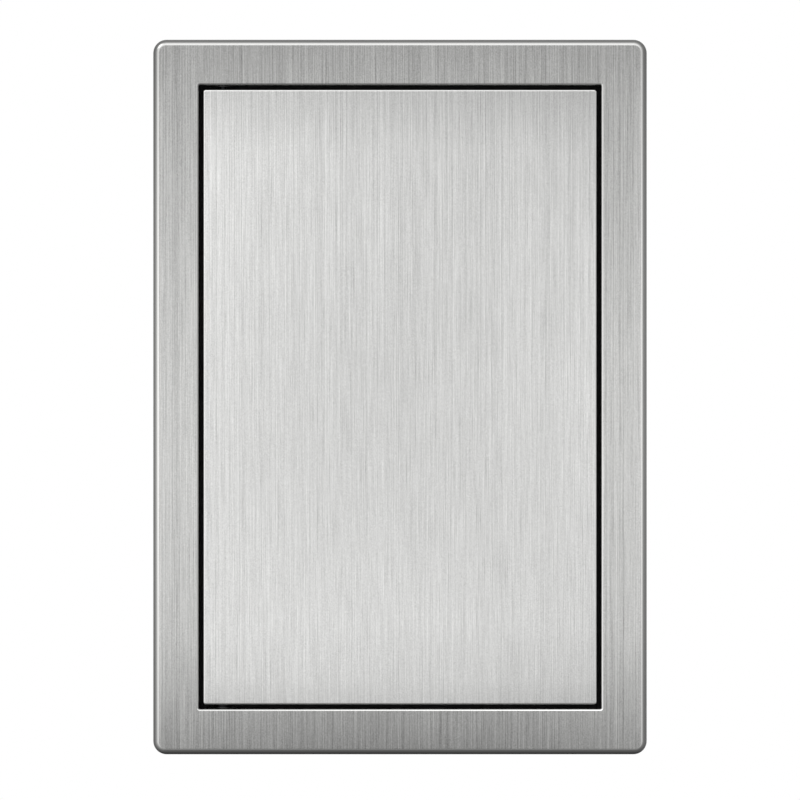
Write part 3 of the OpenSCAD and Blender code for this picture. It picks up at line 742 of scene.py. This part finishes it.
def rounded_outline(bm, low, high, radius, segments):
    """The edges of a rectangle with round corners at the front, with no face in it."""
    corners = [
        bm.verts.new((x, FRONT, z))
        for x, z in ((low.x, low.z), (high.x, low.z), (high.x, high.z), (low.x, high.z))
    ]
    sheet = bm.faces.new(corners)
    bmesh.ops.bevel(
        bm, geom=corners, offset=radius, offset_type="OFFSET", segments=segments, profile=0.5,
        affect="VERTICES", material=-1,
    )
    sheet = next(face for face in bm.faces if len(face.verts) == 4 * (segments + 1))
    edges = list(sheet.edges)
    bmesh.ops.delete(bm, geom=[sheet], context="FACES_ONLY")
    return edges


def fold(bm, edges, step):
    """Draws the edges out along a step and gives the new edges at the end of it."""
    drawn = bmesh.ops.extrude_edge_only(bm, edges=edges)["geom"]
    verts = [item for item in drawn if isinstance(item, bmesh.types.BMVert)]
    bmesh.ops.translate(bm, verts=verts, vec=step)
    moved = set(verts)
    return [
        item for item in drawn
        if isinstance(item, bmesh.types.BMEdge) and set(item.verts) <= moved
    ]


def slice_faces(bm, faces, point, normal):
    """Cuts only those faces by a plane."""
    geometry = set(faces)
    for face in faces:
        geometry.update(face.edges)
        geometry.update(face.verts)
    bmesh.ops.bisect_plane(
        bm, geom=list(geometry), dist=SNAP, plane_co=point, plane_no=normal,
    )


def face_outwards(bm):
    """Points an open shell's faces away from the inside, so that its front faces the room."""
    bmesh.ops.recalc_face_normals(bm, faces=bm.faces)
    front = min(bm.faces, key=lambda face: face.calc_center_median().y)
    if front.normal.y > 0:
        bmesh.ops.reverse_faces(bm, faces=bm.faces)


def cut_notch(bm, edge_z):
    """Clears a turned edge at height edge_z where a hinge bush passes."""
    sizes = settings("facing")
    start = FRONT + sizes.notch_from
    reach = sizes.notch / 2

    def turned():
        """The faces of that turned edge, as cut so far."""
        return [
            face for face in bm.faces
            if abs(face.calc_center_median().z - edge_z) < NEAR and abs(face.normal.z) > FLAT
        ]

    slice_faces(bm, turned(), (0, start, 0), (0, 1, 0))
    for side in SIDES:
        slice_faces(bm, turned(), (HINGE.x + side * reach, 0, 0), (1, 0, 0))
    inside = [
        face for face in turned()
        if face.calc_center_median().y > start
        and abs(face.calc_center_median().x - HINGE.x) < reach
    ]
    bmesh.ops.delete(bm, geom=inside, context="FACES")


def spread(length, margin, step):
    """Places spread evenly along a length, at most a step apart."""
    count = max(1, math.ceil((length - 2 * margin) / step))
    return [(length / 2 - margin) * (2 * index / count - 1) for index in range(count + 1)]


def add_crimp_tab(bm, axis, place, wall, back):
    """Folds one tab in behind the flange, at the level back.

    Its length runs along the axis, 0 for X or 2 for Z, with its middle at that place. The skirt
    that it grows from stands at the level wall on the other axis.
    """
    sizes = settings("facing")
    reach = sizes.tab / 2
    cross = 2 - axis
    along = Vector((0, 0, 0))
    along[axis] = 1
    for end in SIDES:
        skirt = [
            face for face in bm.faces
            if abs(face.calc_center_median()[cross] - wall) < NEAR
        ]
        slice_faces(bm, skirt, along * (place + end * reach), along)
    edges = [
        edge for edge in bm.edges
        if edge.is_boundary and all(
            abs(vert.co[cross] - wall) < NEAR and abs(vert.co[axis] - place) < reach + NEAR
            for vert in edge.verts
        )
    ]
    bend = fold(bm, edges, (0, back - edges[0].verts[0].co.y, 0))
    inwards = Vector((0, 0, 0))
    inwards[cross] = -math.copysign(sizes.tab_reach, wall)
    fold(bm, bend, inwards)
    round_edges(bm, bend, sizes.tab_bend, segments=3)


def add_crimp_tabs(bm, low, high):
    """Folds a row of tabs in behind the flange along each of its four sides."""
    sizes = settings("facing")
    for axis in (0, 2):
        for corner in (low, high):
            for place in spread(high[axis] - low[axis], sizes.tab_margin, sizes.tab_step):
                add_crimp_tab(bm, axis, place, corner[2 - axis], high.y)


def finish_facing(bm, name, finish, body, node):
    """Makes the pressed outer face a piece with the sheet's thickness, laid on inwards."""
    front = [
        face for face in bm.faces
        if abs(face.normal.y) > FLAT and face.calc_center_median().y < FRONT + NEAR
    ]
    bmesh.ops.inset_region(bm, faces=front, thickness=HOLDING_RING, use_even_offset=True)
    face_outwards(bm)
    smooth(bm)
    piece = add_piece(name, bm, finish, body, node)
    solidify = piece.modifiers.new("sheet", "SOLIDIFY")
    solidify.thickness = settings("facing").sheet
    solidify.offset = -1.0
    solidify.use_even_offset = True
    weigh_normals(piece)


class PanelOperator:
    """What the panel's operators share."""

    bl_options = {"REGISTER", "UNDO"}


class ACCESSPANEL_OT_frame_facing(PanelOperator, bpy.types.Operator):
    """Press the frame's steel facing, with its rounded rims, turned edge, notches and crimp tabs"""

    bl_idname = "access_panel.frame_facing"
    bl_label = "Frame facing"

    def execute(self, context):
        sizes = settings("facing")
        low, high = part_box("frame_facing")
        flange = Vector((sizes.flange, 0, sizes.flange))
        bm = bmesh.new()
        outer = rounded_outline(bm, low, high, sizes.corner, segments=10)
        inner = rounded_outline(bm, low + flange, high - flange, sizes.lip_corner, segments=10)
        bmesh.ops.bridge_loops(bm, edges=outer + inner)
        fold(bm, outer, (0, high.y - sizes.skirt_gap - FRONT, 0))
        fold(bm, inner, (0, sizes.turn_in, 0))
        round_edges(bm, outer, sizes.rim, segments=8, loop_slide=False)
        lip = [
            edge for edge in bm.edges
            if len(edge.link_faces) == 2
            and edge.calc_face_angle() > SHARP
            and abs(edge.verts[0].co.y - FRONT) < NEAR
        ]
        round_edges(bm, lip, sizes.lip, segments=5, loop_slide=False)
        for side in SIDES:
            cut_notch(bm, side * (high.z - sizes.flange))
        add_crimp_tabs(bm, low, high)
        finish_facing(bm, "pressed_frame_facing", "brushed_frame", "frame", "frame_facing")
        return {"FINISHED"}


class ACCESSPANEL_OT_door_facing(PanelOperator, bpy.types.Operator):
    """Press the door's steel facing, a shallow tray with a rounded rim"""

    bl_idname = "access_panel.door_facing"
    bl_label = "Door facing"

    def execute(self, context):
        sizes = settings("facing")
        low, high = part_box("door_facing")
        bm = bmesh.new()
        rim = rounded_outline(bm, low, high, sizes.door_corner, segments=8)
        bmesh.ops.holes_fill(bm, edges=rim)
        fold(bm, rim, (0, sizes.turn_in, 0))
        round_edges(bm, rim, sizes.door_rim, segments=6, loop_slide=False)
        cut_notch(bm, low.z)
        finish_facing(bm, "pressed_door_facing", "brushed_door", "door", "door_facing")
        return {"FINISHED"}


def eased_copy(node, ease):
    """A CAD node's mesh, welded, with its flats joined and its sharp edges rounded."""
    bm = bmesh.new()
    bm.from_mesh(frame["nodes"][node].data)
    bmesh.ops.remove_doubles(bm, verts=bm.verts, dist=WELD)
    bmesh.ops.dissolve_limit(bm, angle_limit=COPLANAR, verts=bm.verts, edges=bm.edges)
    sharp = [
        edge for edge in bm.edges
        if len(edge.link_faces) == 2 and edge.calc_face_angle() > SHARP
    ]
    round_edges(bm, sharp, ease, segments=2)
    smooth(bm)
    return bm


def ease_nodes(rows, ease):
    """Replaces each CAD node by its eased copy: rows of node, piece, finish and body."""
    for node, name, finish, body in rows:
        piece = add_piece(name, eased_copy(node, ease), finish, body, node)
        weigh_normals(piece)


class ACCESSPANEL_OT_mouldings(PanelOperator, bpy.types.Operator):
    """Finish the frame's and the door's black mouldings"""

    bl_idname = "access_panel.mouldings"
    bl_label = "Frame and door mouldings"

    def execute(self, context):
        ease_nodes(
            (
                ("frame_body", "moulded_frame", "black_abs", "frame"),
                ("door_body", "moulded_door", "black_abs", "door"),
            ),
            settings("moulded").ease,
        )
        return {"FINISHED"}


class ACCESSPANEL_OT_gasket(PanelOperator, bpy.types.Operator):
    """Lay the foam gasket as four butted strips in the flange's groove"""

    bl_idname = "access_panel.gasket"
    bl_label = "Wall gasket"

    def execute(self, context):
        sizes = settings("moulded")
        low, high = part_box("wall_gasket")
        width = sizes.foam_strip
        size = high - low
        lying = (size.x, size.y, width)
        standing = (width, size.y, size.z - 2 * width)
        bm = bmesh.new()
        for side in SIDES:
            for strip, axis in ((lying, 2), (standing, 0)):
                centre = (low + high) / 2
                centre[axis] = side * (high[axis] - width / 2)
                made = bmesh.ops.create_cube(bm, size=1.0)["verts"]
                bmesh.ops.scale(bm, verts=made, vec=strip)
                bmesh.ops.translate(bm, verts=made, vec=centre)
        round_edges(bm, bm.edges[:], sizes.foam_edge, segments=4)
        smooth(bm)
        weigh_normals(add_piece("gasket_strips", bm, "gasket_foam", "frame", "wall_gasket"))
        return {"FINISHED"}


class ACCESSPANEL_OT_bushes(PanelOperator, bpy.types.Operator):
    """Turn the three flanged hinge bushes"""

    bl_idname = "access_panel.bushes"
    bl_label = "Hinge bushes"

    def execute(self, context):
        ease_nodes(
            (
                ("upper_frame_bush", "turned_upper_bush", "nylon", "frame"),
                ("lower_frame_bush", "turned_lower_bush", "nylon", "frame"),
                ("lower_door_bush", "turned_door_bush", "nylon", "door"),
            ),
            settings("moulded").small_ease,
        )
        return {"FINISHED"}


class ACCESSPANEL_OT_buffers(PanelOperator, bpy.types.Operator):
    """Finish the two rubber buffers"""

    bl_idname = "access_panel.buffers"
    bl_label = "Door buffers"

    def execute(self, context):
        ease_nodes(
            (("door_buffers", "rubber_buffers", "buffer_rubber", "frame"),),
            settings("moulded").small_ease,
        )
        return {"FINISHED"}


class ACCESSPANEL_OT_latch(PanelOperator, bpy.types.Operator):
    """Finish the touch latch: casing, cap, strap, plunger, tip, magnet and follower"""

    bl_idname = "access_panel.latch"
    bl_label = "Touch latch"

    def execute(self, context):
        ease_nodes(
            (
                ("latch_housing", "latch_casing", "grey_abs", "frame"),
                ("latch_cap", "latch_end_cap", "grey_abs", "frame"),
                ("follower_clip", "latch_strap", "wire", "frame"),
                ("latch_plunger", "acetal_plunger", "acetal", "plunger"),
                ("latch_tip", "plunger_cup", "grey_abs", "plunger"),
                ("latch_magnet", "domed_magnet", "nickel", "plunger"),
                ("cam_follower", "wire_follower", "wire", "follower"),
            ),
            settings("moulded").small_ease,
        )
        return {"FINISHED"}


class ACCESSPANEL_OT_hinge_pins(PanelOperator, bpy.types.Operator):
    """Finish the fixed pin, the sliding pin, its knob and its roll pin"""

    bl_idname = "access_panel.hinge_pins"
    bl_label = "Hinge pins"

    def execute(self, context):
        ease_nodes(
            (
                ("lower_hinge_pin", "collared_pin", "blackened", "hinge_pin"),
                ("upper_hinge_pin", "sliding_pin", "blackened", "upper_pin"),
                ("pin_knob", "thumb_knob", "grey_abs", "upper_pin"),
                ("knob_roll_pin", "roll_pin", "wire", "upper_pin"),
            ),
            settings("moulded").small_ease,
        )
        return {"FINISHED"}


class ACCESSPANEL_OT_fasteners(PanelOperator, bpy.types.Operator):
    """Finish the strike plate and the countersunk screws"""

    bl_idname = "access_panel.fasteners"
    bl_label = "Strike plate and screws"

    def execute(self, context):
        ease_nodes(
            (
                ("strike_plate", "plated_strike", "zinc", "door"),
                ("strike_screws", "strike_screw_pair", "zinc", "door"),
                ("latch_screws", "latch_screw_pair", "zinc", "frame"),
            ),
            settings("moulded").small_ease,
        )
        return {"FINISHED"}


def quarter_turn(bm, sense):
    """Turns the whole mesh a quarter about X, forwards for 1 and back for -1."""
    matrix = Matrix.Rotation(sense * math.pi / 2, 3, "X")
    bmesh.ops.rotate(bm, verts=bm.verts, cent=(0, 0, 0), matrix=matrix)


def coil(low, high, axis, wire, turns):
    """A wire coil that fills a box along Y or Z, with its first and last turn closed up."""
    across = (axis + 1) % 3
    radius = (high[across] - low[across] - wire) / 2
    closed = wire * CLOSED_PITCH
    between = high[axis] - low[axis] - wire - 2 * closed
    bm = bmesh.new()
    bmesh.ops.create_circle(bm, segments=WIRE_SIDES, radius=wire / 2)
    quarter_turn(bm, 1)
    bmesh.ops.translate(bm, verts=bm.verts, vec=(radius, 0, 0))
    start = list(bm.edges)
    ring = list(bm.verts) + start
    for rise, count in ((closed, 1), (between, turns - 2), (closed, 1)):
        steps = COIL_STEPS * count
        ring = bmesh.ops.spin(
            bm, geom=ring, cent=(0, 0, 0), axis=(0, 0, 1), dvec=(0, 0, rise / steps),
            angle=2 * math.pi * count, steps=steps, use_merge=False, use_duplicate=False,
        )["geom_last"]
    end = [item for item in ring if isinstance(item, bmesh.types.BMEdge)]
    for edges in (start, end):
        bmesh.ops.holes_fill(bm, edges=edges)
    bmesh.ops.recalc_face_normals(bm, faces=bm.faces)
    if axis == 1:
        quarter_turn(bm, -1)
    foot = (low + high) / 2
    foot[axis] = low[axis] + wire / 2
    bmesh.ops.translate(bm, verts=bm.verts, vec=foot)
    smooth(bm)
    return bm


class ACCESSPANEL_OT_springs(PanelOperator, bpy.types.Operator):
    """Wind the latch spring and the sliding pin's spring"""

    bl_idname = "access_panel.springs"
    bl_label = "Springs"

    def execute(self, context):
        sizes = settings("moulded")
        low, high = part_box("latch_spring")
        wound = coil(low, high, 1, sizes.latch_wire, sizes.latch_turns)
        latch = add_piece("wound_latch_spring", wound, "wire", None, "latch_spring")
        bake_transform(latch)
        low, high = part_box("pin_spring")
        wound = coil(low, high, 2, sizes.pin_wire, sizes.pin_turns)
        pin = add_piece("wound_pin_spring", wound, "wire", "door", "pin_spring")
        travel = joint("upper_pin_retract")["range_m"][1]
        1 - travel / (high.z - low.z)
        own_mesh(pin)
        return {"FINISHED"}


def add_key_light(studio):
    """The soft square light, aimed at the panel's middle."""
    lamp = bpy.data.lights.new("key_light", "AREA")
    lamp.shape = "SQUARE"
    lamp.size = studio.key_size
    lamp.energy = studio.key_power
    holder = bpy.data.objects.new("key_light", lamp)
    holder.location = studio.key_place
    holder.rotation_euler = (-Vector(studio.key_place)).to_track_quat("-Z", "Y").to_euler()
    bpy.context.scene.collection.objects.link(holder)


def add_camera(studio):
    """The camera, square to the panel's front."""
    camera = bpy.data.cameras.new("camera")
    camera.sensor_width = 36.0
    camera.lens = camera.sensor_width * studio.distance / studio.view_width
    camera.clip_end = 20.0
    holder = bpy.data.objects.new("camera", camera)
    holder.location = (0, FRONT - studio.distance, studio.camera_height)
    holder.rotation_euler = (math.pi / 2, 0, 0)
    bpy.context.scene.collection.objects.link(holder)
    bpy.context.scene.camera = holder


def studio_world(board):
    """White for the camera and even light for matt faces. Reflections see a room that is bright
    in front above and to the left, dim to the right and dark below and behind."""
    across, along, up = board.split(board.node("ShaderNodeTexCoord", None, None, "Generated"))
    turned = (along + 1.0) * 0.5
    sides = (
        (up, 1.0, CEILING),
        (across, -1.0, LEFT_WALL),
        (across, 1.0, RIGHT_WALL),
        (up, -1.0, FLOOR),
    )
    room = 0.0
    for part, sign, stops in sides:
        towards = (part * sign).larger(0.0)
        tone = board.node("ShaderNodeValToRGB", {"stops": stops}, {"Fac": turned})
        room = tone * (towards * towards) + room
    room = room / (1.0 - along * along).larger(0.0001) * ROOM_LEVEL
    camera = board.node("ShaderNodeLightPath", None, None, "Is Camera Ray")
    glossy = board.node("ShaderNodeLightPath", None, None, "Is Glossy Ray")
    through = board.node("ShaderNodeLightPath", None, None, "Is Transmission Ray")
    backdrop = camera.larger(along.between(*WHITE_BEHIND) * glossy.larger(through))
    level = board.mix(backdrop, board.mix(glossy, AMBIENT, room), 1.0)
    light = board.node("ShaderNodeBackground", None, {"Color": (1, 1, 1, 1), "Strength": level})
    board.node("ShaderNodeOutputWorld", None, {"Surface": light})


def pale_floor(board):
    """Matt off-white floor that fades into the white backdrop towards its edge."""
    across, along, _ = board.split(board.place())
    right = across - FLOOR_CENTRE[0]
    back = along - FLOOR_CENTRE[1]
    share = (right * right + back * back).root() / FLOOR_REACH
    mottle = board.noise((0.25, 0.25, 0.25), 1.0, 3.0) - 0.5
    matt = board.node(
        "ShaderNodeBsdfPrincipled", None,
        {"Base Color": board.tint("floor", mottle * 0.03 + 1.0), "Roughness": 0.85},
    )
    white = board.node("ShaderNodeEmission", None, {"Color": (1, 1, 1, 1), "Strength": 1.0})
    camera = board.node("ShaderNodeLightPath", None, None, "Is Camera Ray")
    fade = share.between(*FLOOR_FADE) * camera
    surface = board.node("ShaderNodeMixShader", None, {0: fade, 1: matt, 2: white})
    board.node("ShaderNodeOutputMaterial", None, {"Surface": surface})


def add_floor(studio):
    """The floor, which reflections don't see."""
    bm = bmesh.new()
    grid = bmesh.ops.create_grid(bm, x_segments=1, y_segments=1, size=FLOOR_REACH)["verts"]
    bmesh.ops.translate(bm, verts=grid, vec=(*FLOOR_CENTRE, studio.floor_level))
    mesh = bpy.data.meshes.new("studio_floor")
    bm.to_mesh(mesh)
    bm.free()
    mesh.materials.append(material("pale_floor", pale_floor))
    floor = bpy.data.objects.new("studio_floor", mesh)
    bpy.context.scene.collection.objects.link(floor)
    floor.visible_glossy = False


class ACCESSPANEL_OT_stage(PanelOperator, bpy.types.Operator):
    """Set the floor, the light, the world and the camera"""

    bl_idname = "access_panel.stage"
    bl_label = "Stage"

    def execute(self, context):
        studio = settings("studio")
        add_floor(studio)
        add_key_light(studio)
        add_camera(studio)
        world = bpy.data.worlds.new("studio")
        studio_world(Board(world))
        context.scene.world = world
        context.scene.view_settings.view_transform = "Standard"
        return {"FINISHED"}


STEPS = (
    ACCESSPANEL_OT_stage,
    ACCESSPANEL_OT_frame_facing,
    ACCESSPANEL_OT_door_facing,
    ACCESSPANEL_OT_mouldings,
    ACCESSPANEL_OT_gasket,
    ACCESSPANEL_OT_bushes,
    ACCESSPANEL_OT_buffers,
    ACCESSPANEL_OT_latch,
    ACCESSPANEL_OT_hinge_pins,
    ACCESSPANEL_OT_fasteners,
    ACCESSPANEL_OT_springs,
)


class ACCESSPANEL_PT_sidebar(bpy.types.Panel):
    """The panel's steps and sizes in the sidebar"""

    bl_idname = "ACCESSPANEL_PT_sidebar"
    bl_label = "Access Panel"
    bl_space_type = "VIEW_3D"
    bl_region_type = "UI"
    bl_category = "Access Panel"

    def draw(self, context):
        for step in STEPS:
            self.layout.operator(step.bl_idname)
        for name, group in GROUPS.items():
            box = self.layout.box()
            for size in group.__annotations__:
                box.prop(getattr(context.scene, name), size)


def register():
    """Adds the panel's settings to the scene, its operators and its sidebar."""
    for name, group in GROUPS.items():
        bpy.utils.register_class(group)
        setattr(bpy.types.Scene, name, bpy.props.PointerProperty(type=group))
    for step in STEPS:
        bpy.utils.register_class(step)
    bpy.utils.register_class(ACCESSPANEL_PT_sidebar)


def unregister():
    """Takes all that register adds out again, in the reverse order."""
    bpy.utils.unregister_class(ACCESSPANEL_PT_sidebar)
    for step in reversed(STEPS):
        bpy.utils.unregister_class(step)
    for name, group in reversed(GROUPS.items()):
        delattr(bpy.types.Scene, name)
        bpy.utils.unregister_class(group)


def main():
    """Builds the whole panel."""
    register()
    for step in STEPS:
        group, name = step.bl_idname.split(".")
        getattr(getattr(bpy.ops, group), name)()


if __name__ == "__main__":
    main()
